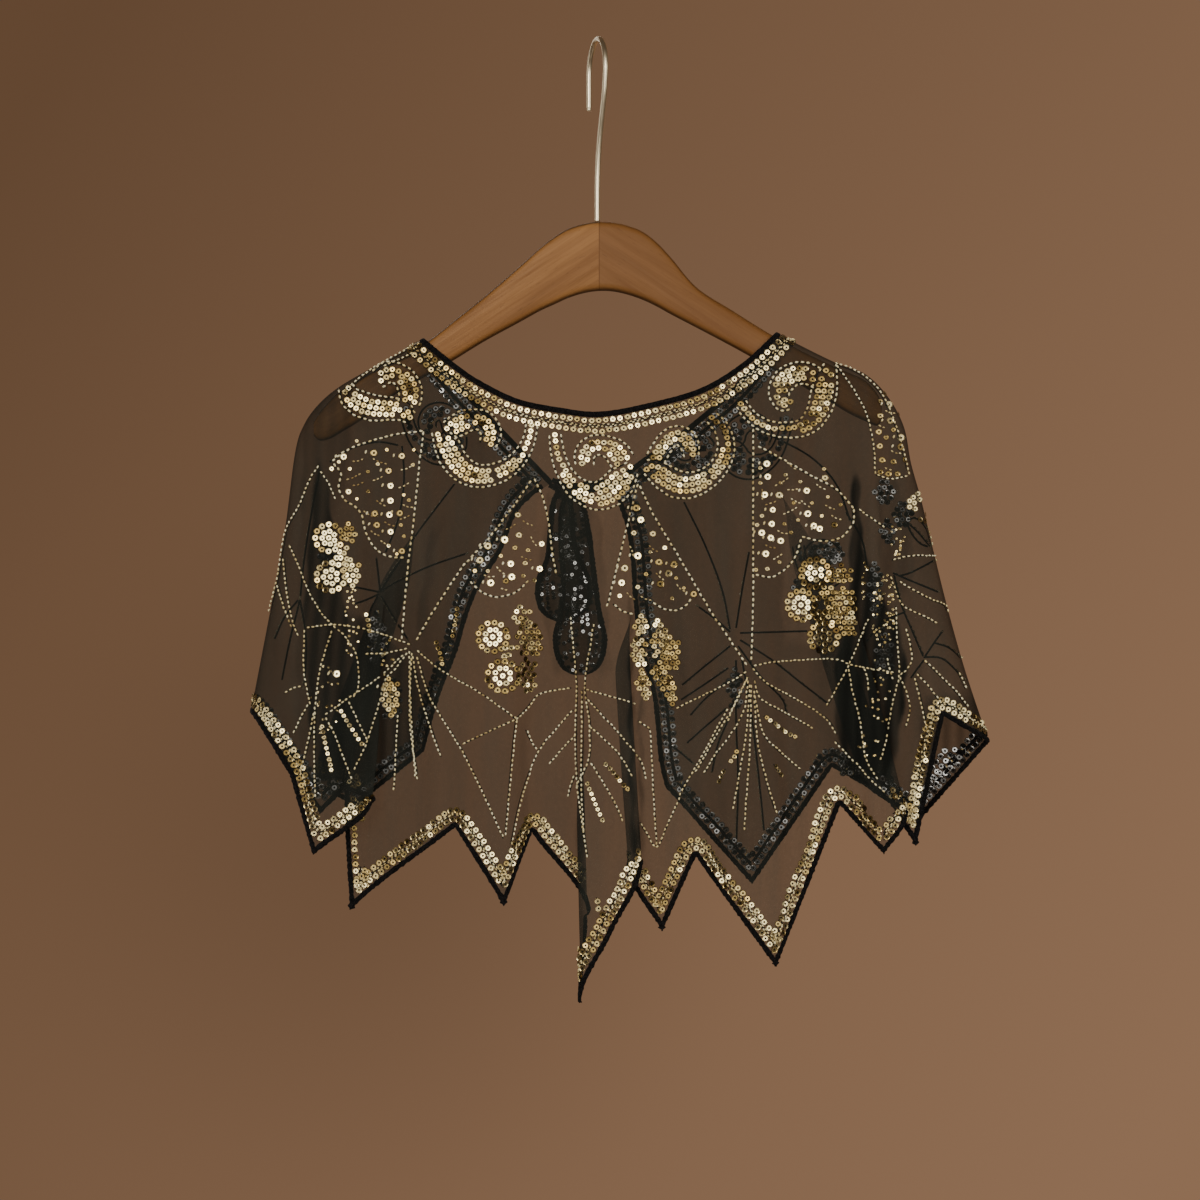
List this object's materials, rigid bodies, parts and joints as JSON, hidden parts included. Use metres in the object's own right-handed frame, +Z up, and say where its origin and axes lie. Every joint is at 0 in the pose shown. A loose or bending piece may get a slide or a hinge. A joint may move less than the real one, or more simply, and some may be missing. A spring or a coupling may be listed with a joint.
{
  "type": "sheer sequinned evening capelet stole on a wooden hanger",
  "caption": "Sheer black evening capelet with gold sequin and bead work, a zigzag hem and rounded front ties, hanging open on a wooden hanger with a wire hook.",
  "frame": {"origin": "inner top of the hook's bend, where it hangs on a rail", "axes": "+Z up, X along the hanger, +Y from the garment's back through the hanger to its open fronts"},
  "size_m": [0.5474, 0.0869, 0.7094],
  "materials": {
    "net": "sheer black tulle",
    "binding": "black tape",
    "hanger_wood": "satin varnish",
    "hook_wire": "polished wire"
  },
  "bodies": {
    "root": {"cape_back": "net", "cape_front_left": "net", "cape_front_right": "net", "neck_binding": "binding", "tie_left": "net", "tie_right": "net", "tie_knot": "net", "hanger_wood": "hanger_wood", "hanger_hook": "hook_wire"}
  },
  "joints": []
}
